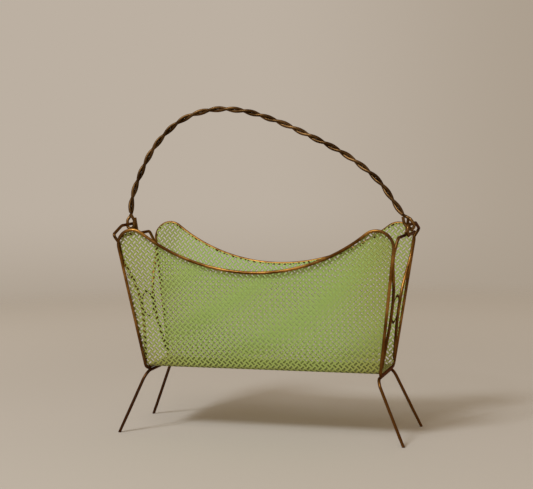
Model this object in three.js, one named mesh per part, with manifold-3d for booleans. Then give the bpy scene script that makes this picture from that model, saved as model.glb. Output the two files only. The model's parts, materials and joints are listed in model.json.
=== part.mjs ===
// Magazine basket: a perforated sheet trough edged with wire, on bent wire legs,
// with a twisted wire handle that tips forward on hooked end wires.
// Millimetres, +Z up, +X to the right end, -Y to the front. Origin on the ground under the middle.

import * as THREE from "three";
import { mergeVertices } from "three/addons/utils/BufferGeometryUtils.js";
import Module from "manifold-3d";

// Wire and sheet stock
const wireRadius = 2;
const strandRadius = 1.9;
const sheetThickness = 0.8;
const seatGap = 0.3;
const sheetTuck = 1;
const cutOverrun = 5;

// Trough, to the centre line of the rim wire
const trayHeight = 84;
const halfLengthBottom = 158.6;
const halfDepthBottom = 40.6;
const panelRise = 188.5;
const sagRise = 133;
const earRadius = 21;
const foldRadius = 8;
const endTaper = THREE.MathUtils.degToRad(8.35);
const panelSlant = THREE.MathUtils.degToRad(8.5);

// Slots, punched crosswise in alternate rows; the real ones are 7.8 apart, too many for a light model
const slotPitch = 26;
const slotLength = 15.5;
const slotWidth = 5;
const slotBorder = 4;

// Legs
const footSplayX = 32.9;
const footSplayY = 19;
const legInset = 2.5;
const legStandOut = 5;
const legBend = 16;

// Spacer ring between the two end wires, to its centre line; its share of the way up from tray to pivot
const ringRadius = 17.5;
const ringShare = 0.4274;

// End wires: heights above the tray, drops below the handle's pivot, reaches from the middle of the end
const endWireFootRise = 11;
const endWireJoinDrop = 44.5;
const pinchLength = 20;
const pinchBendShare = 0.9375;
const joinBend = 34;
const hookLeaveDrop = 20.5;
const hookLeaveBend = 3;
const loopBulgeDrop = 10;
const loopBulgeReach = 65;
const loopBulgeOutset = 4.6;
const loopBulgeBend = 4.5;
const loopBrowReach = 34;
const loopBrowBend = 30;
const loopFloorDrop = 13.5;
const postLeaveDrop = 32.5;
const postLeaveBend = 10;
const shoulderDrop = 13.5;
const shoulderReach = 46;
const shoulderBend = 10;
const postBend = 7;
const postRise = 8;

// Handle; its pivot's height above the rim's crown
const pivotRise = 3.1;
const pivotY = -4;
const handleRise = 154.5;
const handleLean = THREE.MathUtils.degToRad(8);
const halfTurns = 21;
const eyeHalfWidth = 4.7;
const eyeDrop = 6.2;
const eyeShoulder = 5;
const eyeTop = 15.5;
const turnReach = 13;

// Smoothness of the wires
const wireSides = 8;
const strandSides = 6;
const bendStep = THREE.MathUtils.degToRad(15);
const saddleSteps = 22;
const earSteps = 9;
const stepsPerHalfTurn = 5;
const openingSteps = 4;
const ringSteps = 24;

// Sizes that follow from those above
const wireSpacing = 2 * wireRadius + seatGap;
const strandOffset = strandRadius + seatGap / 2;
const edgeInset = wireRadius + seatGap;
const sheetInset = edgeInset + sheetThickness / 2;
const slotSpan = ((slotLength + slotWidth) / 2) * Math.SQRT1_2;
const crownHeight = trayHeight + panelRise * Math.cos(panelSlant);
const pivotHeight = crownHeight + pivotRise;
const ringHeight = THREE.MathUtils.lerp(trayHeight, pivotHeight, ringShare);
const joinHeight = pivotHeight - endWireJoinDrop;
const pinchBend = (joinHeight - ringHeight) * pinchBendShare;
const footReachX = halfLengthBottom + footSplayX;
const footReachY = halfDepthBottom + footSplayY;
const pinchReach = ringRadius + wireSpacing;
const earCentreRise = panelRise - earRadius;
const earCentreX = halfLengthBottom + earCentreRise * Math.tan(endTaper) - earRadius / Math.cos(endTaper);
const sagDrop = sagRise - earCentreRise;
const saddleRadius = (earCentreX ** 2 + sagDrop ** 2 - earRadius ** 2) / (2 * (earRadius - sagDrop));
const saddleCentreRise = sagRise + saddleRadius;
const crest = Math.atan2(saddleCentreRise - earCentreRise, -earCentreX);
const panelLean = Math.tan(panelSlant);
const endLean = Math.tan(endTaper) / Math.cos(panelSlant);
const pivotReach = halfLengthAt(pivotHeight) + wireSpacing * Math.hypot(1, endLean);

// Half the trough's length and depth at a height, to the rim wire's centre line
function halfLengthAt(height) {
  return halfLengthBottom + (height - trayHeight) * endLean;
}

function halfDepthAt(height) {
  return halfDepthBottom + (height - trayHeight) * panelLean;
}

// A path that visits its stations in turn, one for each step of the wire
class StationPath extends THREE.Curve {
  constructor(stations) {
    super();
    this.stations = stations;
  }

  getPoint(share, target = new THREE.Vector3()) {
    const place = share * (this.stations.length - 1);
    const index = Math.min(Math.floor(place), this.stations.length - 2);
    return target.lerpVectors(this.stations[index], this.stations[index + 1], place - index);
  }

  getPointAt(share, target) {
    return this.getPoint(share, target);
  }

  getTangentAt(share, target = new THREE.Vector3()) {
    const last = this.stations.length - 1;
    const index = Math.round(share * last);
    const before = this.stations[Math.max(index - 1, 0)];
    const middle = this.stations[index];
    const after = this.stations[Math.min(index + 1, last)];
    const arriving = middle.clone().sub(before).normalize();
    const leaving = after.clone().sub(middle).normalize();
    return target.copy(arriving).add(leaving).normalize();
  }
}

function wireAlong(stations, radius, sides) {
  const section = new THREE.Shape();
  section.absarc(0, 0, radius, 0, 2 * Math.PI);
  return new THREE.ExtrudeGeometry(section, {
    steps: stations.length - 1,
    curveSegments: sides / 2,
    extrudePath: new StationPath(stations),
  });
}

// Stations of a wire bent at corners, each given as a place and a bend radius
function bentWire(corners) {
  const stations = [corners[0].at];
  for (let i = 1; i < corners.length - 1; i++) {
    stations.push(...bendStations(corners[i - 1].at, corners[i], corners[i + 1].at));
  }
  stations.push(corners[corners.length - 1].at);
  return stations;
}

function bendStations(before, corner, after) {
  const arriving = corner.at.clone().sub(before).normalize();
  const leaving = after.clone().sub(corner.at).normalize();
  const turn = arriving.angleTo(leaving);
  const setback = corner.bend * Math.tan(turn / 2);
  const start = corner.at.clone().addScaledVector(arriving, -setback);
  const inward = leaving.clone().addScaledVector(arriving, -leaving.dot(arriving)).normalize();
  const centre = start.clone().addScaledVector(inward, corner.bend);
  const steps = Math.max(2, Math.ceil(turn / bendStep));
  const stations = [];
  for (let i = 0; i <= steps; i++) {
    const angle = (turn * i) / steps;
    const station = centre.clone().addScaledVector(inward, -corner.bend * Math.cos(angle));
    stations.push(station.addScaledVector(arriving, corner.bend * Math.sin(angle)));
  }
  return stations;
}

// Points of an arc in the panel's own plane
function arcPoints(centreX, centreY, radius, from, to, steps) {
  const points = [];
  for (let i = 0; i <= steps; i++) {
    const angle = from + ((to - from) * i) / steps;
    points.push(new THREE.Vector2(centreX + radius * Math.cos(angle), centreY + radius * Math.sin(angle)));
  }
  return points;
}

// The panel's edge over both ears and the saddle, from the right side to the left
function panelEdge(inset) {
  const ear = earRadius - inset;
  const saddle = saddleRadius + inset;
  return [
    ...arcPoints(earCentreX, earCentreRise, ear, -endTaper, crest, earSteps),
    ...arcPoints(0, saddleCentreRise, saddle, crest - Math.PI, -crest, saddleSteps).slice(1, -1),
    ...arcPoints(-earCentreX, earCentreRise, ear, Math.PI - crest, Math.PI + endTaper, earSteps),
  ];
}

// A place on the front (-1) or back (1) panel, from its distance along and up the panel
function onPanel(side, point) {
  const y = side * (halfDepthBottom + point.y * Math.sin(panelSlant));
  return new THREE.Vector3(point.x, y, trayHeight + point.y * Math.cos(panelSlant));
}

// The rim is one wire whose ends meet in the middle of the left floor edge
function rimStations() {
  const butt = new THREE.Vector3(-halfLengthBottom, seatGap / 2, trayHeight);
  const front = panelEdge(0).reverse().map((point) => onPanel(-1, point));
  const back = panelEdge(0).map((point) => onPanel(1, point));
  const lowFront = (end) => new THREE.Vector3(end * halfLengthBottom, -halfDepthBottom, trayHeight);
  const lowBack = (end) => new THREE.Vector3(end * halfLengthBottom, halfDepthBottom, trayHeight);
  const bend = (before, at, after) => bendStations(before, { at, bend: foldRadius }, after);
  return [
    butt.clone().setY(-butt.y),
    ...bend(butt, lowFront(-1), front[0]),
    ...front,
    ...bend(front[front.length - 1], lowFront(1), lowBack(1)),
    ...bend(lowFront(1), lowBack(1), back[0]),
    ...back,
    ...bend(back[back.length - 1], lowBack(-1), butt),
    butt,
  ];
}

// A place at an end of the basket: across it, up it, and outward from the rim's plane
function atEnd(end, across, height, outset = 0) {
  return new THREE.Vector3(end * (halfLengthAt(height) + outset), across, height);
}

// Where an end wire lies along the inside of the rim's upright
function besideRim(height) {
  return halfDepthAt(height) - wireSpacing / Math.cos(panelSlant);
}

// The lower stretch that both end wires share: up the rim, in to the spacer ring and out again
function waistCorners(end, side) {
  const foot = trayHeight + endWireFootRise;
  return [
    { at: atEnd(end, side * besideRim(foot), foot) },
    { at: atEnd(end, side * pinchReach, ringHeight - pinchLength), bend: pinchBend },
    { at: atEnd(end, side * pinchReach, ringHeight + pinchLength), bend: pinchBend },
    { at: atEnd(end, side * besideRim(joinHeight), joinHeight), bend: joinBend },
  ];
}

// The wire whose top loops over the rim and carries the handle's eye
function hookStations(end, side) {
  const loop = (across, height) => atEnd(end, across, height).setX(end * pivotReach);
  const turn = pivotY - side * turnReach;
  const turnBend = loopFloorDrop / 2;
  const leave = pivotHeight - hookLeaveDrop;
  const floor = pivotHeight - loopFloorDrop;
  return bentWire([
    ...waistCorners(end, side),
    { at: atEnd(end, side * besideRim(leave), leave), bend: hookLeaveBend },
    { at: atEnd(end, side * loopBulgeReach, pivotHeight - loopBulgeDrop, loopBulgeOutset), bend: loopBulgeBend },
    { at: loop(side * loopBrowReach, pivotHeight), bend: loopBrowBend },
    { at: loop(turn, pivotHeight), bend: turnBend },
    { at: loop(turn, floor), bend: turnBend },
    { at: atEnd(end, side * besideRim(floor), floor) },
  ]);
}

// The wire whose top runs in to the middle and stands up as a stop behind the handle
function postStations(end, side) {
  const standBack = (strandOffset + strandRadius + wireRadius + seatGap) / Math.cos(handleLean);
  const postY = pivotY + standBack + postRise * Math.tan(handleLean);
  const leave = pivotHeight - postLeaveDrop;
  const shoulder = pivotHeight - shoulderDrop;
  return bentWire([
    ...waistCorners(end, side),
    { at: atEnd(end, side * besideRim(leave), leave), bend: postLeaveBend },
    { at: atEnd(end, side * shoulderReach, shoulder), bend: shoulderBend },
    { at: atEnd(end, postY, shoulder), bend: postBend },
    { at: atEnd(end, postY, pivotHeight + postRise) },
  ]);
}

// A staple of wire: foot, leg, across under the rim's floor wire, leg, foot
function legStations(end) {
  const reach = end * (halfLengthBottom - legInset);
  const crossHeight = trayHeight - Math.sqrt(wireSpacing ** 2 - legInset ** 2);
  const top = (side) => new THREE.Vector3(reach, side * (halfDepthBottom + legStandOut), crossHeight);
  const foot = (side) => {
    const sole = new THREE.Vector3(end * footReachX, side * footReachY, 0);
    const down = sole.clone().sub(top(side)).normalize();
    return sole.addScaledVector(down, cutOverrun);
  };
  return bentWire([
    { at: foot(-1) },
    { at: top(-1), bend: legBend },
    { at: top(1), bend: legBend },
    { at: foot(1) },
  ]);
}

// The handle's centre line from eye to eye, as shares of the pivot reach and the rise
const courseShares = [
  [-0.997, 0.2],
  [-0.955, 0.38],
  [-0.83, 0.68],
  [-0.64, 0.9],
  [-0.42, 0.985],
  [-0.2, 0.975],
  [0.06, 0.878],
  [0.31, 0.74],
  [0.57, 0.57],
  [0.785, 0.36],
  [0.9, 0.17],
];
const eyeTilt = { left: 0, right: THREE.MathUtils.degToRad(36) };

function eyeFrame(end) {
  const tilt = end < 0 ? eyeTilt.left : eyeTilt.right;
  const up = new THREE.Vector3(-Math.sin(tilt), 0, Math.cos(tilt));
  const across = new THREE.Vector3(Math.cos(tilt), 0, Math.sin(tilt));
  return { centre: new THREE.Vector3(end * pivotReach, 0, 0), up, across };
}

function onEye(end, across, up, out) {
  const frame = eyeFrame(end);
  const place = frame.centre.clone().addScaledVector(frame.across, across).addScaledVector(frame.up, up);
  return place.setY(out);
}

function handleCourse() {
  const middle = courseShares.map(([x, z]) => new THREE.Vector3(x * pivotReach, 0, z * handleRise));
  return new THREE.CatmullRomCurve3([onEye(-1, 0, eyeTop, 0), ...middle, onEye(1, 0, eyeTop, 0)], false, "centripetal");
}

// One strand of the twist, from the top of the left eye to the top of the right one
function twistStations(phase) {
  const course = handleCourse();
  const steps = halfTurns * stepsPerHalfTurn;
  const stations = [];
  for (let i = 0; i <= steps; i++) {
    const centre = course.getPointAt(i / steps);
    const along = course.getTangentAt(i / steps);
    const across = new THREE.Vector3(along.z, 0, -along.x);
    const angle = phase + Math.PI / 2 + (halfTurns * Math.PI * i) / steps;
    const station = centre.addScaledVector(across, strandOffset * Math.cos(angle));
    stations.push(station.setY(strandOffset * Math.sin(angle)));
  }
  return stations;
}

// One side of an eye, from its shoulder up to where the two strands close at its top
function eyeSide(end, phase) {
  const stations = [];
  for (let i = 0; i < openingSteps; i++) {
    const share = i / openingSteps;
    const spread = THREE.MathUtils.lerp(eyeHalfWidth, strandOffset, share);
    const angle = phase - end * share * (Math.PI / 2);
    const up = THREE.MathUtils.lerp(eyeShoulder, eyeTop, share);
    stations.push(onEye(end, spread * Math.cos(angle), up, spread * Math.sin(angle)));
  }
  return stations;
}

// The round bottom of an eye, from one side to the other
function eyeBottom(end, from) {
  const steps = Math.ceil(Math.PI / bendStep / 2);
  const centreDrop = eyeDrop - eyeHalfWidth;
  const stations = [];
  for (let i = 0; i <= steps; i++) {
    const angle = (Math.PI * i) / steps;
    const across = from * eyeHalfWidth * Math.cos(angle);
    stations.push(onEye(end, across, -centreDrop - eyeHalfWidth * Math.sin(angle), 0));
  }
  return stations;
}

function frontStrand() {
  return [...eyeSide(-1, 0).reverse(), ...eyeBottom(-1, 1), ...eyeSide(-1, Math.PI), ...twistStations(Math.PI)];
}

function backStrand() {
  return [...twistStations(0), ...eyeSide(1, 0).reverse(), ...eyeBottom(1, 1), ...eyeSide(1, Math.PI)];
}

// Solids for cutting and joining
const wasm = await Module();
wasm.setup();

function toSolid(geometry) {
  const bare = geometry.clone();
  bare.deleteAttribute("normal");
  bare.deleteAttribute("uv");
  const merged = mergeVertices(bare);
  const triVerts = new Uint32Array(merged.index.array);
  return new wasm.Manifold(new wasm.Mesh({ numProp: 3, vertProperties: merged.attributes.position.array, triVerts }));
}

function toGeometry(solid) {
  const mesh = solid.getMesh();
  const geometry = new THREE.BufferGeometry();
  geometry.setAttribute("position", new THREE.BufferAttribute(mesh.vertProperties, 3));
  geometry.setIndex(new THREE.BufferAttribute(mesh.triVerts, 1));
  return geometry;
}

// The legs' feet are cut level with the ground
function legGeometry(end) {
  const legs = toSolid(wireAlong(legStations(end), wireRadius, wireSides));
  const width = 2 * (footReachX + cutOverrun);
  const depth = 2 * (footReachY + cutOverrun);
  const ground = new THREE.BoxGeometry(width, depth, 2 * cutOverrun);
  ground.translate(0, 0, -cutOverrun);
  return toGeometry(legs.subtract(toSolid(ground)));
}

// The sheet's section across its depth: it lies inside the wire frame, against the rim wire
function troughSection() {
  const rise = panelRise + cutOverrun;
  const floorY = halfDepthBottom - sheetInset * Math.tan((Math.PI / 2 - panelSlant) / 2);
  const floorZ = trayHeight + sheetInset;
  const top = (side) => {
    const y = side * (floorY + rise * Math.sin(panelSlant));
    return new THREE.Vector3(0, y, floorZ + rise * Math.cos(panelSlant));
  };
  const fold = (side) => new THREE.Vector3(0, side * floorY, floorZ);
  const bend = foldRadius - sheetInset;
  const middle = [
    top(-1),
    ...bendStations(top(-1), { at: fold(-1), bend }, fold(1)),
    ...bendStations(fold(-1), { at: fold(1), bend }, top(1)),
    top(1),
  ];
  const path = new StationPath(middle);
  const skin = (offset) =>
    middle.map((place, i) => {
      const along = path.getTangentAt(i / (middle.length - 1));
      return new THREE.Vector2(place.y - along.z * offset, place.z + along.y * offset);
    });
  return new THREE.Shape([...skin(-sheetThickness / 2), ...skin(sheetThickness / 2).reverse()]);
}

function troughSolid() {
  const reach = halfLengthAt(trayHeight + panelRise) + cutOverrun;
  const geometry = new THREE.ExtrudeGeometry(troughSection(), { depth: 2 * reach, bevelEnabled: false });
  geometry.translate(0, 0, -reach);
  geometry.applyMatrix4(new THREE.Matrix4().set(0, 0, 1, 0, 1, 0, 0, 0, 0, 1, 0, 0, 0, 0, 0, 1));
  return toSolid(geometry);
}

// Prisms through the whole depth of the basket from outlines seen from the front
function depthPrism(shapes) {
  const reach = halfDepthAt(trayHeight + panelRise) + cutOverrun;
  const geometry = new THREE.ExtrudeGeometry(shapes, { depth: 2 * reach, bevelEnabled: false });
  geometry.translate(0, 0, -reach);
  geometry.rotateX(Math.PI / 2);
  return toSolid(geometry);
}

// Prisms down through the floor from outlines seen from above
function floorPrism(shapes) {
  const geometry = new THREE.ExtrudeGeometry(shapes, { depth: 2 * cutOverrun, bevelEnabled: false });
  geometry.translate(0, 0, trayHeight + sheetInset - cutOverrun);
  return toSolid(geometry);
}

// Seen from the front: the top edge is tucked up behind the rim wire
function topOutline() {
  const edge = panelEdge(sheetTuck).map((point) => onPanel(1, point));
  const reach = edge[0].x;
  const under = trayHeight - cutOverrun;
  return new THREE.Shape([
    new THREE.Vector2(reach, under),
    ...edge.map((place) => new THREE.Vector2(place.x, place.z)),
    new THREE.Vector2(-reach, under),
  ]);
}

// Seen from the front: the side edges stop beside the uprights, where the end wires lie
function sideOutline() {
  const inset = edgeInset / Math.cos(endTaper);
  const low = halfLengthBottom - inset;
  const top = trayHeight + panelRise;
  const high = halfLengthAt(top) - inset;
  const under = trayHeight - cutOverrun;
  return new THREE.Shape([
    new THREE.Vector2(low, under),
    new THREE.Vector2(low, trayHeight),
    new THREE.Vector2(high, top),
    new THREE.Vector2(-high, top),
    new THREE.Vector2(-low, trayHeight),
    new THREE.Vector2(-low, under),
  ]);
}

// How far up the panel its edge lies, at a distance from the middle
function edgeRise(x) {
  const reach = Math.abs(x);
  if (reach < earCentreX + earRadius * Math.cos(crest)) {
    return saddleCentreRise - Math.sqrt(saddleRadius ** 2 - reach ** 2);
  }
  return earCentreRise + Math.sqrt(Math.max(earRadius ** 2 - (reach - earCentreX) ** 2, 0));
}

// A slot leans right in even rows and left in odd ones
function slotShape(x, y, row) {
  const slant = row % 2 === 0 ? Math.PI / 4 : -Math.PI / 4;
  const along = new THREE.Vector2(slotLength / 2, 0).rotateAround(new THREE.Vector2(), slant);
  const across = new THREE.Vector2(0, slotWidth / 2).rotateAround(new THREE.Vector2(), slant);
  const centre = new THREE.Vector2(x, y);
  return new THREE.Shape([
    centre.clone().sub(along).sub(across),
    centre.clone().add(along).sub(across),
    centre.clone().add(along).add(across),
    centre.clone().sub(along).add(across),
  ]);
}

// The slots that fit whole into a field, staggered by half a pitch from row to row
function slotShapes(low, high, fits) {
  const half = slotPitch / 2;
  const columns = Math.ceil(halfLengthAt(trayHeight + panelRise) / slotPitch);
  const shapes = [];
  for (let row = Math.ceil(low / half); row * half <= high; row++) {
    for (let column = -columns; column <= columns; column++) {
      const x = (column + (row % 2 === 0 ? 0 : 1 / 2)) * slotPitch;
      if (fits(x, row * half)) {
        shapes.push(slotShape(x, row * half, row));
      }
    }
  }
  return shapes;
}

function panelSlots() {
  const inside = (x, rise) => {
    const room = [x - slotSpan, x, x + slotSpan].map((place) => edgeRise(place) - sheetTuck);
    const side = halfLengthAt(trayHeight + rise - slotSpan) - edgeInset - slotBorder;
    return rise + slotSpan + slotBorder < Math.min(...room) && Math.abs(x) + slotSpan < side;
  };
  return depthPrism(slotShapes(foldRadius + slotSpan, panelRise, inside)).translate([0, 0, trayHeight]);
}

function floorSlots() {
  const reachX = halfLengthBottom - edgeInset - slotBorder - slotSpan;
  const reachY = halfDepthBottom - foldRadius - slotSpan;
  return floorPrism(slotShapes(-reachY, reachY, (x) => Math.abs(x) < reachX));
}

function sheetGeometry() {
  const blank = troughSolid().intersect(depthPrism([topOutline()])).intersect(depthPrism([sideOutline()]));
  return toGeometry(blank.subtract(panelSlots()).subtract(floorSlots()));
}

const sheetPaint = { color: 0x92a25a, roughness: 0.55, metalness: 0.1 };
const agedWire = { color: 0x7a4a22, roughness: 0.4, metalness: 0.85 };

function named(name, geometry, look) {
  const mesh = new THREE.Mesh(geometry, new THREE.MeshStandardMaterial(look));
  mesh.name = name;
  return mesh;
}

function wire(name, stations) {
  return named(name, wireAlong(stations, wireRadius, wireSides), agedWire);
}

function spacerRing(name, end) {
  const ring = named(name, new THREE.TorusGeometry(ringRadius, wireRadius, wireSides, ringSteps), agedWire);
  ring.rotation.set(0, Math.PI / 2 + end * Math.atan(endLean), 0);
  ring.position.copy(atEnd(end, 0, ringHeight));
  return ring;
}

function handle() {
  const group = new THREE.Group();
  group.position.set(0, pivotY, pivotHeight);
  group.rotation.x = -handleLean;
  group.add(named("handle_strand_front", wireAlong(frontStrand(), strandRadius, strandSides), agedWire));
  group.add(named("handle_strand_back", wireAlong(backStrand(), strandRadius, strandSides), agedWire));
  return group;
}

const basket = new THREE.Group();
basket.add(named("perforated_sheet", sheetGeometry(), sheetPaint));
basket.add(wire("rim_wire", rimStations()));
for (const [name, end] of [
  ["left", -1],
  ["right", 1],
]) {
  basket.add(wire(`${name}_hook_wire`, hookStations(end, end)));
  basket.add(wire(`${name}_post_wire`, postStations(end, -end)));
  basket.add(spacerRing(`${name}_spacer_ring`, end));
  basket.add(named(`${name}_leg_wire`, legGeometry(end), agedWire));
}
basket.add(handle());

export default basket;
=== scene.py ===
# %% [markdown]
# A magazine basket of perforated sheet and bent wire.
#
# The real object is a small rack: one sheet of green steel, punched all over with slots and
# folded into a trough, edged with copper-brown wire, on four wire legs, with a twisted wire
# handle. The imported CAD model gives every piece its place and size, with plain eight-sided
# wires and a few large slots. This lesson dresses it: round wires, the true perforation,
# brazed joints and worn finishes.

# %% Load the frame
import itertools
import json
import math

import bmesh
import bpy
from mathutils import Matrix, Vector, noise
from mathutils.kdtree import KDTree


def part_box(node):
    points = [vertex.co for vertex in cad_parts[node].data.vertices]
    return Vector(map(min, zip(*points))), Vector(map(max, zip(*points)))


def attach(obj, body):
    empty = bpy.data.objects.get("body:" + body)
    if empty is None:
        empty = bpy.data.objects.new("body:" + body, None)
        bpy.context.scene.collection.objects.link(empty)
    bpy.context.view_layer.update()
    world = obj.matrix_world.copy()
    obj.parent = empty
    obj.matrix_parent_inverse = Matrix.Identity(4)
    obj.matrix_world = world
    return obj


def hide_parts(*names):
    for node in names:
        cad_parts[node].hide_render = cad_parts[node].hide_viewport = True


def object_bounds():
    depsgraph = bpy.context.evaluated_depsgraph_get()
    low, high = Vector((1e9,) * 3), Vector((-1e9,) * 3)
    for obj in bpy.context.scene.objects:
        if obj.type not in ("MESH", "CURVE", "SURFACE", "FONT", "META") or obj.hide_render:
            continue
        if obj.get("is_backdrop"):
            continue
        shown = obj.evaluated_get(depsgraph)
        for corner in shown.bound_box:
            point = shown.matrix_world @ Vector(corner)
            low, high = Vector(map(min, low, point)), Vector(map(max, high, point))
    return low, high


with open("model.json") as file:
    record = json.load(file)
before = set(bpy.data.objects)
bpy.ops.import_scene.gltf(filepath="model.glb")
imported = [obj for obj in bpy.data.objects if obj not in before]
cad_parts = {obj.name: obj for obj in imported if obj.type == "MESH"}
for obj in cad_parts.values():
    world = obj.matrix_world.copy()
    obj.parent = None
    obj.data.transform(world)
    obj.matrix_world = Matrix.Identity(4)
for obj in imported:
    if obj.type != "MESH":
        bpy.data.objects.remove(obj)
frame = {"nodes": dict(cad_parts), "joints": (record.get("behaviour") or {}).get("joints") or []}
cad_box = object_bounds()
mm = 0.001
print("nodes:", len(frame["nodes"]), "height:", round(cad_box[1].z / mm), "mm")

# %% [markdown]
# The camera.
#
# The photograph was taken with a long lens from a little above the basket and a little to its
# right. A camera can be placed by eye, but here the place was solved from points that are
# known on the object, so the script only turns those three angles into a rotation.

# %% Camera
azimuth, elevation, roll = (math.radians(a) for a in (17.48, 4.89, -1.10))
camera_place = Vector((0.5139, -1.6337, 0.3931))
picture_width, focal_pixels = 533, 1309.5
across = math.cos(elevation)
back = Vector((math.sin(azimuth) * across, -math.cos(azimuth) * across, math.sin(elevation)))
level = Vector((math.cos(azimuth), math.sin(azimuth), 0))
upright = back.cross(level)
right = level * math.cos(roll) + upright * math.sin(roll)
up = upright * math.cos(roll) - level * math.sin(roll)
camera_data = bpy.data.cameras.new("camera")
camera_data.sensor_width = 36
camera_data.lens = camera_data.sensor_width * focal_pixels / picture_width
camera = bpy.data.objects.new("camera", camera_data)
bpy.context.scene.collection.objects.link(camera)
turned = Matrix((right, up, back)).transposed().to_4x4()
camera.matrix_world = Matrix.Translation(camera_place) @ turned
bpy.context.scene.camera = camera
print("lens:", round(camera_data.lens, 1), "mm")

# %% [markdown]
# Shader maths as expressions.
#
# Procedural finishes are sums and products of noise. Wiring each Math node by hand hides the
# idea, so a small class wraps a socket and turns Python's operators into Math nodes. The
# expression then reads like the formula it stands for.

# %% Socket maths
class Maths:
    """A socket's value, which varies from place to place: operators on it add Math nodes."""

    def __init__(self, nodes, socket):
        self.nodes, self.socket = nodes, socket

    def _with(self, operation, *values):
        return self.nodes.node("ShaderNodeMath", {"operation": operation}, dict(enumerate(values)))

    def __add__(self, other):
        return self._with("ADD", self, other)

    def __sub__(self, other):
        return self._with("SUBTRACT", self, other)

    def __rsub__(self, other):
        return self._with("SUBTRACT", other, self)

    def __mul__(self, other):
        return self._with("MULTIPLY", self, other)

    __radd__, __rmul__ = __add__, __mul__

    def over(self, low, high):
        """0 below low, 1 above high and smooth between."""
        sockets = {"Value": self, "From Min": low, "From Max": high}
        return self.nodes.node("ShaderNodeMapRange", {"interpolation_type": "SMOOTHSTEP"}, sockets)


class Nodes:
    """A node tree, with one method that adds any node and plugs in its values."""

    def __init__(self, tree):
        self.tree = tree

    def plug(self, socket, value):
        if isinstance(value, Maths):
            self.tree.links.new(value.socket, socket)
        else:
            socket.default_value = value

    def node(self, kind, settings, values, output=0):
        made = self.tree.nodes.new(kind)
        for setting, value in settings.items():
            setattr(made, setting, value)
        for socket, value in values.items():
            self.plug(made.inputs[socket], value)
        return Maths(self, made.outputs[output])

    def blend(self, share, low, high):
        """A colour between low and high."""
        values = {0: share, 6: low, 7: high}
        return self.node("ShaderNodeMix", {"data_type": "RGBA", "clamp_factor": True}, values, 2)

    def axis(self, vector, letter):
        return self.node("ShaderNodeSeparateXYZ", {}, {"Vector": vector}, letter)


class Finish(Nodes):
    """A material with one Principled shader, whose patterns follow the piece's own space."""

    def __init__(self, name):
        self.material = bpy.data.materials.new(name)
        self.material.use_nodes = True
        super().__init__(self.material.node_tree)
        self.shader = self.tree.nodes["Principled BSDF"]
        self.place = self.node("ShaderNodeTexCoord", {}, {}, "Object")

    def noise(self, scale, detail, roughness):
        sockets = {"Vector": self.place, "Scale": scale, "Detail": detail, "Roughness": roughness}
        return self.node("ShaderNodeTexNoise", {}, sockets)

    def bump(self, height, strength, distance):
        sockets = {"Height": height, "Strength": strength, "Distance": distance}
        return self.node("ShaderNodeBump", {}, sockets)

    def feed(self, **sockets):
        for name, value in sockets.items():
            self.plug(self.shader.inputs[name.replace("_", " ")], value)


def srgb(r, g, b):
    """A colour written as a screen shows it, 0 to 255."""
    return tuple(((c / 255 + 0.055) / 1.055) ** 2.4 for c in (r, g, b)) + (1.0,)


# %% [markdown]
# Finish: dark copper-brown wire.
#
# The wire is plated copper brown. The rim is rubbed to a warm shine, the handle and the knots
# at its ends are duller, and towards the feet the wires are nearly black, most of all on the
# left. A metal shader carries the shine, slow noise in the object's own space moves its
# colour and roughness, and the place of a point tells which part of the frame it belongs to.

# %% Wire finish
aged_wire = Finish("aged_wire")
patches = aged_wire.noise(38, 4, 0.6).over(0.35, 0.7)
grain = aged_wire.noise(900, 2, 0.6)
along, height = aged_wire.axis(aged_wire.place, "X"), aged_wire.axis(aged_wire.place, "Z")
knots = 0.7 * (along * along).over(0.168 ** 2, 0.184 ** 2) * height.over(0.235, 0.26)
frame_metal = aged_wire.blend(patches, srgb(96, 60, 20), srgb(172, 122, 58))
handle_metal = aged_wire.blend(patches, srgb(66, 44, 20), srgb(116, 84, 48))
upper_metal = aged_wire.blend(height.over(0.278, 0.3) + knots, frame_metal, handle_metal)
lower_metal = aged_wire.blend(along.over(-0.1, 0.1), srgb(74, 46, 26), srgb(104, 66, 28))
metal = aged_wire.blend(height.over(0.05, 0.18), lower_metal, upper_metal)
aged_wire.feed(
    Base_Color=aged_wire.blend(grain.over(0.55, 0.8) * 0.6, metal, srgb(40, 24, 10)),
    Roughness=0.27 + 0.12 * grain + 0.1 * patches,
    Metallic=0.9,
    Specular_Tint=(0.4, 0.28, 0.16, 1),
    Normal=aged_wire.bump(grain, 0.25, 0.0001),
)
print("wire finish nodes:", len(aged_wire.tree.nodes))
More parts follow.
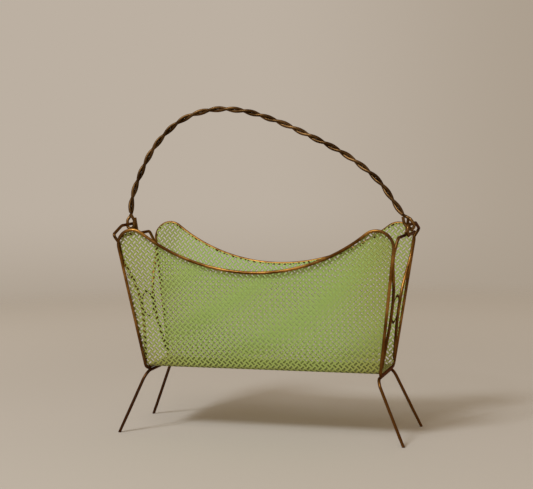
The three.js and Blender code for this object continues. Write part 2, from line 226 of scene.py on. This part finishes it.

# %% [markdown]
# Finish: green enamel.
#
# The sheet is sprayed a soft yellow-green. It is painted yellower and darker towards the two
# ends and towards the floor, which low in the trough partly stands for painted shade, and
# brown at the slots' edges, partly for dirt and partly as painted shade in the slots. Paint is
# not metal, so it gets a base colour with slow mottling, a middling roughness and a faint
# orange-peel bump. The dirt and shade at the slots need to know where a slot is, and read a
# number that the mesh carries at its slots' edges.

# %% Sheet finish
sheet_paint = Finish("sheet_paint")
mottle = sheet_paint.noise(14, 4, 0.55)
specks = sheet_paint.noise(420, 3, 0.6)
paint = sheet_paint.blend(mottle.over(0.3, 0.75), srgb(162, 188, 97), srgb(174, 201, 110))
slot_edge = sheet_paint.node("ShaderNodeAttribute", {"attribute_name": "slot_edge"}, {}, "Fac")
# Painted dirt and painted shade: the slots' edges turn dark brown, partly for dirt and partly for the shade
# in the slots.
slot_dirt_and_shade = (slot_edge + 0.5 * (mottle - 0.5)).over(0.72, 1.02)
along, height = sheet_paint.axis(sheet_paint.place, "X"), sheet_paint.axis(sheet_paint.place, "Z")
# Yellower and darker towards the two ends and towards the floor; low in the trough this is partly painted
# shade.
yellow_and_low_shade = 0.06 + 0.4 * (along * along).over(0.004, 0.034) + 0.3 * (1 - height.over(0.084, 0.125))
toned_and_shaded = sheet_paint.blend(yellow_and_low_shade * (0.6 + 0.8 * mottle), paint, srgb(146, 118, 34))
with_dirt_and_shade = sheet_paint.blend(slot_dirt_and_shade * 0.95, toned_and_shaded, srgb(76, 70, 26))
sheet_paint.feed(
    Base_Color=sheet_paint.blend(specks.over(0.62, 0.75) * 0.35, with_dirt_and_shade, srgb(122, 126, 66)),
    Roughness=0.42 + 0.2 * mottle,
    Metallic=0.0,
    Normal=sheet_paint.bump(specks, 0.12, 0.0002),
)
print("sheet finish nodes:", len(sheet_paint.tree.nodes))

# %% [markdown]
# Round wires from the frame's own centre lines.
#
# A bent wire is a circle swept along a line. The CAD wires already hold that line: each is a
# chain of rings. Reading the ring centres back means a wire can't drift from its place. The
# walk starts at a cut end and steps from ring to ring along the edges.

# %% Read a wire's centre line
same_place = 0.001 * mm


def cut_end(face):
    """Whether a face is a wire's cut end: it has many corners, and each side is an edge."""
    return len(face.verts) > 4 and all(e.calc_face_angle(0) > 1 for e in face.edges)


def centre_line(node):
    """The ring centres of a CAD wire, from one cut end to the other."""
    tube = bmesh.new()
    tube.from_mesh(frame["nodes"][node].data)
    bmesh.ops.remove_doubles(tube, verts=tube.verts, dist=same_place)
    caps = tube.copy()
    bmesh.ops.dissolve_limit(caps, angle_limit=math.radians(0.5), verts=caps.verts, edges=caps.edges)
    end = next(face for face in caps.faces if cut_end(face))
    ring = {min(tube.verts, key=lambda v: (v.co - corner.co).length) for corner in end.verts}
    seen, centres = set(), []
    while ring:
        centres.append(sum((v.co for v in ring), Vector()) / len(ring))
        seen |= ring
        ring = {edge.other_vert(v) for v in ring for edge in v.link_edges} - seen
    caps.free()
    tube.free()
    return centres


lines = {node: centre_line(node) for node in frame["nodes"] if "wire" in node or "strand" in node}
print({node: len(line) for node, line in lines.items()})

# %% [markdown]
# In the photograph each strand of the handle climbs over its partner from lower left to upper
# right, which is the other hand of twist than the CAD's. Both strands could be drawn anew, but
# a mirror in the plane of the handle's arch turns the twist over and leaves its outline and
# its two eyes where they are. The hinge is in that plane, and the sum of all the places seen
# from the hinge points along it, because the two strands' offsets cancel.

# %% Turn the twist over
hinge = Vector(frame["joints"][0]["pos_m"])
strands = [node for node in lines if "strand" in node]
arch = sum((place - hinge for node in strands for place in lines[node]), Vector())
across_arch = Vector((0, arch.z, -arch.y)).normalized()
for node in strands:
    lines[node] = [p - 2 * (p - hinge).dot(across_arch) * across_arch for p in lines[node]]
print("the handle leans back", round(math.degrees(math.atan2(arch.y, arch.z)), 1), "degrees")

# %% [markdown]
# A Bezier curve through those points, with a round bevel, is the quickest way to a smooth
# tube. At each point the curve runs half-way between the stretches before and after it, or
# along the straight one where a straight stretch meets a bend. A swept wire is cut square, but
# the feet stand flat, so nothing is left below the floor.

# %% Sweep a wire
wire_edge = 0.35 * mm


def tangent(before, here, after, straight=2.5):
    """The wire's direction at a point; a stretch so many times the other's length is straight."""
    arriving, leaving = here - before, after - here
    if arriving.length > straight * leaving.length:
        return arriving.normalized()
    if leaving.length > straight * arriving.length:
        return leaving.normalized()
    return (arriving.normalized() + leaving.normalized()).normalized()


def sweep(name, line, radius, sides=16, steps=3):
    """A round wire along a line of points, with its two cut edges rounded off."""
    curve = bpy.data.curves.new(name, "CURVE")
    curve.dimensions, curve.twist_mode = "3D", "MINIMUM"
    curve.bevel_depth, curve.bevel_resolution, curve.resolution_u = radius, (sides - 4) // 2, steps
    curve.use_fill_caps = True
    spline = curve.splines.new("BEZIER")
    spline.bezier_points.add(len(line) - 1)
    for i, point in enumerate(spline.bezier_points):
        before, here, after = line[max(i - 1, 0)], line[i], line[min(i + 1, len(line) - 1)]
        inside = before != here != after
        along = tangent(before, here, after) if inside else (after - before).normalized()
        reach = along * min(d for d in ((here - before).length, (after - here).length) if d > 0) / 3
        point.handle_left_type = point.handle_right_type = "FREE"
        point.co, point.handle_left, point.handle_right = here, here - reach, here + reach
    bent = bpy.data.objects.new(name, curve)
    mesh = bpy.data.meshes.new_from_object(bent)
    bpy.data.objects.remove(bent)
    work = bmesh.new()
    work.from_mesh(mesh)
    bmesh.ops.remove_doubles(work, verts=work.verts, dist=same_place)
    bmesh.ops.recalc_face_normals(work, faces=work.faces)
    ends = [e for e in work.edges if any(len(f.verts) > 4 for f in e.link_faces)]
    bmesh.ops.bevel(work, geom=ends, offset=wire_edge, segments=2, profile=0.5, affect="EDGES", material=-1)
    work.to_mesh(mesh)
    work.free()
    return mesh


def piece(name, mesh, body, finish, slot, *nodes):
    """A finished piece: its mesh in place, riding on its body, standing for its CAD nodes."""
    mesh.name = name
    mesh.materials.clear()
    mesh.materials.append(finish.material)
    made = bpy.data.objects.new(name, mesh)
    bpy.context.scene.collection.objects.link(made)
    mesh.shade_smooth()
    mesh.set_sharp_from_angle(angle=math.radians(40))
    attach(made, body)
    if nodes:
        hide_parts(*nodes)


wire_radius = 2 * mm
for node, line in lines.items():
    body = "handle" if "strand" in node else "basket"
    mesh = sweep("round_" + node, line, wire_radius)
    for v in mesh.vertices:
        v.co.z = max(v.co.z, 0)
    piece("round_" + node, mesh, body, aged_wire, "aged_wire", node)
    print(node, len(mesh.polygons), "faces")

# %% [markdown]
# The spacer rings.
#
# Each end has a ring of wire between its two end wires. A circle spun about the ring's axis
# makes it; the lean comes from how wide the CAD ring's box is for its height.

# %% Spacer rings
for side in ("left", "right"):
    low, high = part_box(side + "_spacer_ring")
    centre, ring_radius = (low + high) / 2, (high.y - low.y) / 2 - wire_radius
    lean = math.asin(((high.x - low.x) / 2 - wire_radius) / ring_radius)
    work = bmesh.new()
    bmesh.ops.create_circle(work, segments=16, radius=wire_radius)
    bmesh.ops.rotate(work, verts=work.verts, matrix=Matrix.Rotation(math.pi / 2, 3, "X"))
    bmesh.ops.translate(work, verts=work.verts, vec=(0, 0, ring_radius))
    bmesh.ops.rotate(work, verts=work.verts, matrix=Matrix.Rotation(math.pi / 2, 3, "Z"))
    circle = work.verts[:] + work.edges[:]
    bmesh.ops.spin(work, geom=circle, axis=(1, 0, 0), angle=2 * math.pi, steps=64, use_merge=True)
    bmesh.ops.recalc_face_normals(work, faces=work.faces)
    outward = lean if side == "right" else -lean
    bmesh.ops.rotate(work, verts=work.verts, matrix=Matrix.Rotation(outward, 3, "Y"))
    bmesh.ops.translate(work, verts=work.verts, vec=centre)
    node = side + "_spacer_ring"
    mesh = bpy.data.meshes.new("round_" + node)
    work.to_mesh(mesh)
    work.free()
    piece("round_" + node, mesh, "basket", aged_wire, "aged_wire", node)
    print(node, round(ring_radius / mm, 1), "mm, leaning", round(math.degrees(lean), 1), "degrees")

# %% [markdown]
# Brazed joints.
#
# The wires of the frame are joined by brazing: where two of them run side by side, a little
# metal has flowed into the crease between them. The places needn't be listed by hand. Points
# a millimetre or two apart along each wire go into a search tree. Wherever two wires come
# within a hair of each other, a long run of near points gets a bead near each end, and a short
# one gets a bead in its middle.

# %% Find the joints
def along_wire(line, step=1.5 * mm):
    """Places a step apart along a wire, each with the wire's direction there."""
    for before, after in zip(line, line[1:]):
        count = max(1, round((after - before).length / step))
        for i in range(count):
            yield before.lerp(after, i / count), (after - before).normalized()


def ring_line(node, steps=72):
    """Places round a spacer ring, which leans outwards."""
    low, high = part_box(node)
    centre, reach = (low + high) / 2, (high - low) / 2 - Vector((wire_radius,) * 3)
    out = math.copysign(reach.x, centre.x)
    turns = [2 * math.pi * i / steps for i in range(steps + 1)]
    round_ring = [(out * math.cos(a), reach.y * math.sin(a), reach.z * math.cos(a)) for a in turns]
    return [centre + Vector(place) for place in round_ring]


def joints(line, other, reach=4.75 * mm, break_in_run=4 * mm, short_run=8):
    """Middle, direction and crossing direction of each bead between two wires."""
    places = list(along_wire(other))
    tree = KDTree(len(places))
    for i, (place, _) in enumerate(places):
        tree.insert(place, i)
    tree.balance()
    runs = []
    for place, direction in along_wire(line):
        nearest, _, distance = tree.find(place)
        if distance < reach:
            if not runs or (place - runs[-1][-1][0]).length > break_in_run:
                runs.append([])
            runs[-1].append((place, nearest, direction))
    for run in runs:
        ends = [run[len(run) // 2]] if len(run) < short_run else [run[2], run[-3]]
        for place, nearest, direction in ends:
            yield (place + nearest) / 2, direction, (nearest - place).normalized()


frame_lines = {node: line for node, line in lines.items() if "strand" not in node}
frame_lines.update({node: ring_line(node) for node in frame["nodes"] if "ring" in node})
pairs = itertools.combinations(frame_lines, 2)
beads = [bead for a, b in pairs for bead in joints(frame_lines[a], frame_lines[b])]
print("brazed joints:", len(beads))

# %% [markdown]
# A bead starts as a ball, is stretched along the wires, and is roughened by noise, so that no
# two are alike. It is thinner than the wires, which leaves a fillet on both sides.

# %% Make the beads
bead_reach, bead_width, bead_depth = 3.6 * mm, 1.75 * mm, 1.6 * mm
bead_roughness, bead_grain = 0.22 * mm, 1.6 * mm
for side, end in (("left", -1), ("right", 1)):
    work = bmesh.new()
    for middle, direction, between in beads:
        if middle.x * end < 0:
            continue
        across = between.cross(direction).normalized()
        turned = Matrix((direction, across, direction.cross(across))).transposed().to_4x4()
        stretched = Matrix.Diagonal((bead_reach, bead_width, bead_depth, 1))
        placed = Matrix.Translation(middle) @ turned @ stretched
        ball = bmesh.ops.create_icosphere(work, subdivisions=3, radius=1, matrix=placed)["verts"]
        for v in ball:
            v.co += bead_roughness * noise.noise_vector(v.co / bead_grain)
    mesh = bpy.data.meshes.new(side + "_brazing")
    work.to_mesh(mesh)
    work.free()
    piece(side + "_brazing", mesh, "basket", aged_wire, "aged_wire")
    print(side, "brazing:", len(mesh.polygons), "faces")

# %% [markdown]
# The perforated sheet, laid flat.
#
# The real sheet was punched flat and then folded, and that is the easy order here too. Each
# slot sits in a diamond of metal; a second diamond, turned a quarter, stands between four of
# them. The slots' corners are marked with a 1 for the painted dirt and shade at the slots to
# follow. Two Array modifiers then repeat the pair over the whole blank.

# %% One pair of punched diamonds
slot_pitch, slot_length, slot_width, slot_corner = 7.8 * mm, 5.2 * mm, 2.16 * mm, 0.5 * mm
sheet_thickness = 0.8 * mm
grid_gap = 0.01 * mm


def punched_diamond(work, centre, slant):
    """A diamond of metal round one slot, which is turned by slant."""
    border = bmesh.ops.create_circle(work, segments=4, radius=slot_pitch / 2)["verts"]
    hole = bmesh.ops.create_circle(work, segments=4, radius=math.sqrt(0.5))["verts"]
    bmesh.ops.rotate(work, verts=hole, matrix=Matrix.Rotation(math.pi / 4, 3, "Z"))
    bmesh.ops.scale(work, verts=hole, vec=(slot_length, slot_width, 1))
    bmesh.ops.rotate(work, verts=hole, matrix=Matrix.Rotation(slant, 3, "Z"))
    cut = bmesh.ops.bevel(
        work, geom=hole + list({e for v in hole for e in v.link_edges}), offset=slot_corner,
        segments=1, profile=0.5, affect="VERTICES", material=-1,
    )
    hole_edges = list({e for v in cut["verts"] for e in v.link_edges})
    border_edges = list({e for v in border for e in v.link_edges})
    # Marks the slot's edge for the painted dirt and shade at the slots.
    for v in cut["verts"]:
        v[work.verts.layers.float["slot_edge"]] = 1
    bmesh.ops.bridge_loops(work, edges=hole_edges + border_edges)
    verts = list({v for e in hole_edges + border_edges for v in e.verts})
    bmesh.ops.translate(work, verts=verts, vec=centre)


cell = bmesh.new()
cell.verts.layers.float.new("slot_edge")
punched_diamond(cell, Vector((0, 0, 0)), -math.pi / 4)
punched_diamond(cell, Vector((slot_pitch / 2, slot_pitch / 2, 0)), math.pi / 4)
bmesh.ops.remove_doubles(cell, verts=cell.verts, dist=grid_gap)
bmesh.ops.recalc_face_normals(cell, faces=cell.faces)
print("pair of diamonds:", len(cell.verts), "vertices,", len(cell.faces), "faces")

# %% [markdown]
# The blank's outline.
#
# In the developed sheet one direction runs along the basket and the other down the front
# panel, through a fold, across the floor and up the back. The rim wire's own line, developed
# in the same way, gives the outline: tucked behind the wire along the top, and stopping
# beside the uprights, where the end wires lie.

# %% Develop the rim line
rim = lines["rim_wire"]
tray_height, crown = rim[0].z, max(rim, key=lambda p: p.z)
fold_radius, sheet_inset, end_gap, tuck = 8 * mm, 2.7 * mm, 2.3 * mm, 1.0 * mm
low_corner = min((p for p in rim if p.z > tray_height + fold_radius), key=lambda p: p.z)
slant = math.atan2(abs(crown.y) - abs(low_corner.y), crown.z - low_corner.z)
half_depth = abs(low_corner.y) - (low_corner.z - tray_height) * math.tan(slant)
turn = math.pi / 2 - slant
setback = math.tan(turn / 2)
flat_half = half_depth - fold_radius * setback
bend_radius = fold_radius - sheet_inset
panel_start = flat_half + bend_radius * turn


def develop(place):
    """How far round the sheet a place on the rim lies, from the middle of the floor."""
    if abs(place.y) <= flat_half:
        return place.y
    rise = (place.z - tray_height) / math.cos(slant)
    angle = math.atan2(abs(place.y) - flat_half, tray_height + fold_radius - place.z)
    on_panel = panel_start + rise - fold_radius * setback
    return math.copysign(on_panel if angle >= turn else flat_half + bend_radius * angle, place.y)


outline = [Vector((p.x, develop(p), 0)) for p in rim]
blank = [round(2 * max(p[i] for p in outline) / mm) for i in (0, 1)]
print("floor at", round(tray_height / mm, 1), "mm, panels slant", round(math.degrees(slant), 2), "degrees")
print("blank:", blank, "mm")

# %% [markdown]
# The outline becomes a face and is inset by the tuck. Then no corner may come nearer to an
# upright than the end wires leave room for, and the face is extruded into a cutter.

# %% Cut the outline
floor_reach = abs(outline[0].x)
on_upright = [p for p in outline if p.x > floor_reach and p.y > panel_start - grid_gap]
low, high = sorted(on_upright, key=lambda p: p.y)[:2]
taper = (high.x - low.x) / (high.y - low.y)
cutter = bmesh.new()
face = cutter.faces.new([cutter.verts.new(p) for p in outline])
border = bmesh.ops.inset_region(cutter, faces=[face], thickness=tuck, use_even_offset=True)["faces"]
bmesh.ops.delete(cutter, geom=border, context="FACES")
for v in cutter.verts:
    reach = max(floor_reach, low.x + (abs(v.co.y) - low.y) * taper) - end_gap
    v.co.x = max(-reach, min(reach, v.co.x))
cutter_half = 5 * mm
bmesh.ops.translate(cutter, verts=cutter.verts, vec=(0, 0, -cutter_half))
top = bmesh.ops.extrude_face_region(cutter, geom=cutter.faces[:])["geom"]
raised = [v for v in top if isinstance(v, bmesh.types.BMVert)]
bmesh.ops.translate(cutter, verts=raised, vec=(0, 0, 2 * cutter_half))
bmesh.ops.recalc_face_normals(cutter, faces=cutter.faces)
print("cutter:", len(cutter.faces), "faces, floor edge at", round(floor_reach / mm, 1), "mm")

# %% [markdown]
# The pair of diamonds is repeated, given its thickness and cut to the outline, all by
# modifiers on a flat plate. The cutter itself is thrown away afterwards.

# %% Punch and cut the blank
def linked(name, work):
    """A new object in the scene from a bmesh."""
    mesh = bpy.data.meshes.new(name)
    work.to_mesh(mesh)
    work.free()
    made = bpy.data.objects.new(name, mesh)
    bpy.context.scene.collection.objects.link(made)
    return made


first_column, first_row = 2.4 * mm, -2.58 * mm
columns = math.ceil(cad_box[1].x / slot_pitch) + 1
rows = math.ceil(max(p.y for p in outline) / slot_pitch) + 1
corner = (first_column - columns * slot_pitch, first_row - rows * slot_pitch, 0)
bmesh.ops.translate(cell, verts=cell.verts, vec=corner)
plate, cutter = linked("plate", cell), linked("cutter", cutter)
for count, offset in ((2 * columns, (slot_pitch, 0, 0)), (2 * rows, (0, slot_pitch, 0))):
    array = plate.modifiers.new("repeat", "ARRAY")
    array.count, array.use_relative_offset, array.use_constant_offset = count, False, True
    array.constant_offset_displace = offset
    array.use_merge_vertices, array.merge_threshold = True, grid_gap
wall = plate.modifiers.new("wall", "SOLIDIFY")
wall.thickness, wall.offset = sheet_thickness, 0
cut = plate.modifiers.new("cut", "BOOLEAN")
cut.operation, cut.solver, cut.object = "INTERSECT", "MANIFOLD", cutter
punched = bpy.data.meshes.new_from_object(plate.evaluated_get(bpy.context.evaluated_depsgraph_get()))
bpy.data.objects.remove(plate)
bpy.data.objects.remove(cutter)
print("punched plate:", len(punched.vertices), "vertices,", len(punched.polygons), "faces")

# %% [markdown]
# Folding the sheet.
#
# A press brake bends the plate along two lines. Extra cuts across the plate give each bend its
# facets, and then every vertex moves to where the bend carries it: the floor stays flat, the
# bend turns about its own centre, and the panel runs on straight.

# %% Fold
def folded(place):
    """Where a place on the flat plate lies once the sheet is folded."""
    side, round_sheet = math.copysign(1, place.y), abs(place.y)
    if round_sheet <= flat_half:
        return Vector((place.x, place.y, tray_height + sheet_inset + place.z))
    angle = min((round_sheet - flat_half) / bend_radius, turn)
    beyond = max(round_sheet - panel_start, 0)
    radius = bend_radius - place.z
    y = flat_half + radius * math.sin(angle) + beyond * math.cos(angle)
    z = tray_height + fold_radius - radius * math.cos(angle) + beyond * math.sin(angle)
    return Vector((place.x, side * y, z))


work = bmesh.new()
work.from_mesh(punched)
bend_cuts = 4
for step in range(bend_cuts + 1):
    for side in (-1, 1):
        line = side * (flat_half + bend_radius * turn * step / bend_cuts)
        near = [f for f in work.faces if any(abs(v.co.y - line) < slot_pitch for v in f.verts)]
        geom = near + list({e for f in near for e in f.edges}) + list({v for f in near for v in f.verts})
        bmesh.ops.bisect_plane(work, geom=geom, dist=grid_gap, plane_co=(0, line, 0), plane_no=(0, 1, 0))
for v in work.verts:
    v.co = folded(v.co)
bmesh.ops.recalc_face_normals(work, faces=work.faces)
work.to_mesh(punched)
work.free()
piece("slotted_sheet", punched, "basket", sheet_paint, "sheet_paint", "perforated_sheet")
print("folded sheet:", sum(len(p.vertices) - 2 for p in punched.polygons), "triangles")

# %% [markdown]
# Floor and backdrop.
#
# The basket stands on a pale warm-grey sweep that runs up into a soft backdrop, a little
# lighter on the left. A wall would stand in the way of the other views, so the floor is a disc
# that fades out at its rim, and the world shows the backdrop's tone behind it to the camera
# and in reflections. The disc is painted a touch lighter far out, because less of the lamps'
# light falls there.

# %% Floor and backdrop
stage_finish = Finish("stage")
distance = stage_finish.node(
    "ShaderNodeVectorMath", {"operation": "LENGTH"}, {0: stage_finish.place}, "Value",
)
fade = distance.over(1.25, 1.75)
floor_tone = stage_finish.blend(distance.over(0.45, 1.15), srgb(184, 172, 158), srgb(193, 181, 167))
stage_finish.feed(Base_Color=floor_tone, Roughness=0.95)
clear = stage_finish.node("ShaderNodeBsdfTransparent", {}, {})
solid = Maths(stage_finish, stage_finish.shader.outputs[0])
mixed = stage_finish.node("ShaderNodeMixShader", {}, {0: fade, 1: solid, 2: clear})
stage_finish.tree.links.new(mixed.socket, stage_finish.tree.nodes["Material Output"].inputs["Surface"])
work = bmesh.new()
bmesh.ops.create_circle(work, cap_ends=True, segments=96, radius=1.8)
floor = linked("floor", work)
floor.data.materials.append(stage_finish.material)
floor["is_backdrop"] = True

world = bpy.data.worlds.new("studio")
bpy.context.scene.world = world
world.use_nodes = True
sky = Nodes(world.node_tree)
toward = sky.node("ShaderNodeTexCoord", {}, {}, "Generated")
to_the_right = sky.axis(toward, "X").over(-0.32, -0.06)
below = 1 - sky.axis(toward, "Z").over(-0.16, -0.05)
backdrop = sky.blend(to_the_right, srgb(188, 176, 162), srgb(171, 158, 142))
shown_colour = sky.blend(below, backdrop, srgb(168, 155, 139))
shown = sky.node("ShaderNodeBackground", {}, {"Color": shown_colour, "Strength": 1.0})
lighting = sky.node("ShaderNodeBackground", {}, {"Color": (1.0, 0.83, 0.6, 1), "Strength": 0.44})
kinds = ("Is Camera Ray", "Is Glossy Ray", "Is Transmission Ray")
by_camera, in_gloss, through_glass = (sky.node("ShaderNodeLightPath", {}, {}, kind) for kind in kinds)
seen = by_camera + in_gloss + through_glass
either = sky.node("ShaderNodeMixShader", {}, {0: seen, 1: lighting, 2: shown})
sky.tree.links.new(either.socket, sky.tree.nodes["World Output"].inputs["Surface"])
print("world nodes:", len(sky.tree.nodes))

# %% [markdown]
# Light.
#
# The shadow on the floor falls back and to the right, and its soft front edge starts below the
# sheet: a softbox high on the left in front. A wider and much weaker lamp, in front and almost
# overhead, runs a highlight along the tops of the wires and opens the shadows.

# %% Lamps
def lamp(name, place, target, size, power, colour):
    """A softbox: a rectangular lamp that faces its target."""
    data = bpy.data.lights.new(name, "AREA")
    data.shape, data.size, data.size_y = "RECTANGLE", size[0], size[1]
    data.energy, data.color = power, colour
    made = bpy.data.objects.new(name, data)
    bpy.context.scene.collection.objects.link(made)
    made.location = place
    made.rotation_mode = "QUATERNION"
    made.rotation_quaternion = (place - target).to_track_quat("Z", "Y")


middle = Vector((0, 0, 0.2))
toward_key, key_distance = Vector((-38, -80, 100)).normalized(), 4.5
lamp("key", middle + key_distance * toward_key, middle, (1.0, 1.0), 145, (0.76, 0.87, 1))
lamp("fill", Vector((-0.3, -1.3, 2.8)), middle, (1.6, 1.0), 16, (0.95, 0.97, 1))

# %% [markdown]
# Colour view and sizes.
#
# The colours are shown as they are, without a film-like curve. The sizes before and after
# dressing are written down, so that they can be compared.

# %% View settings and sizes
bpy.context.scene.view_settings.view_transform = "Standard"
boxes = {"cad": cad_box, "visual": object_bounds()}
corners = {name: [list(corner) for corner in box] for name, box in boxes.items()}
moved = [[(b - a) / mm for a, b in zip(*pair)] for pair in zip(corners["cad"], corners["visual"])]
print("the box moved by", [[round(d, 2) for d in corner] for corner in moved], "mm")
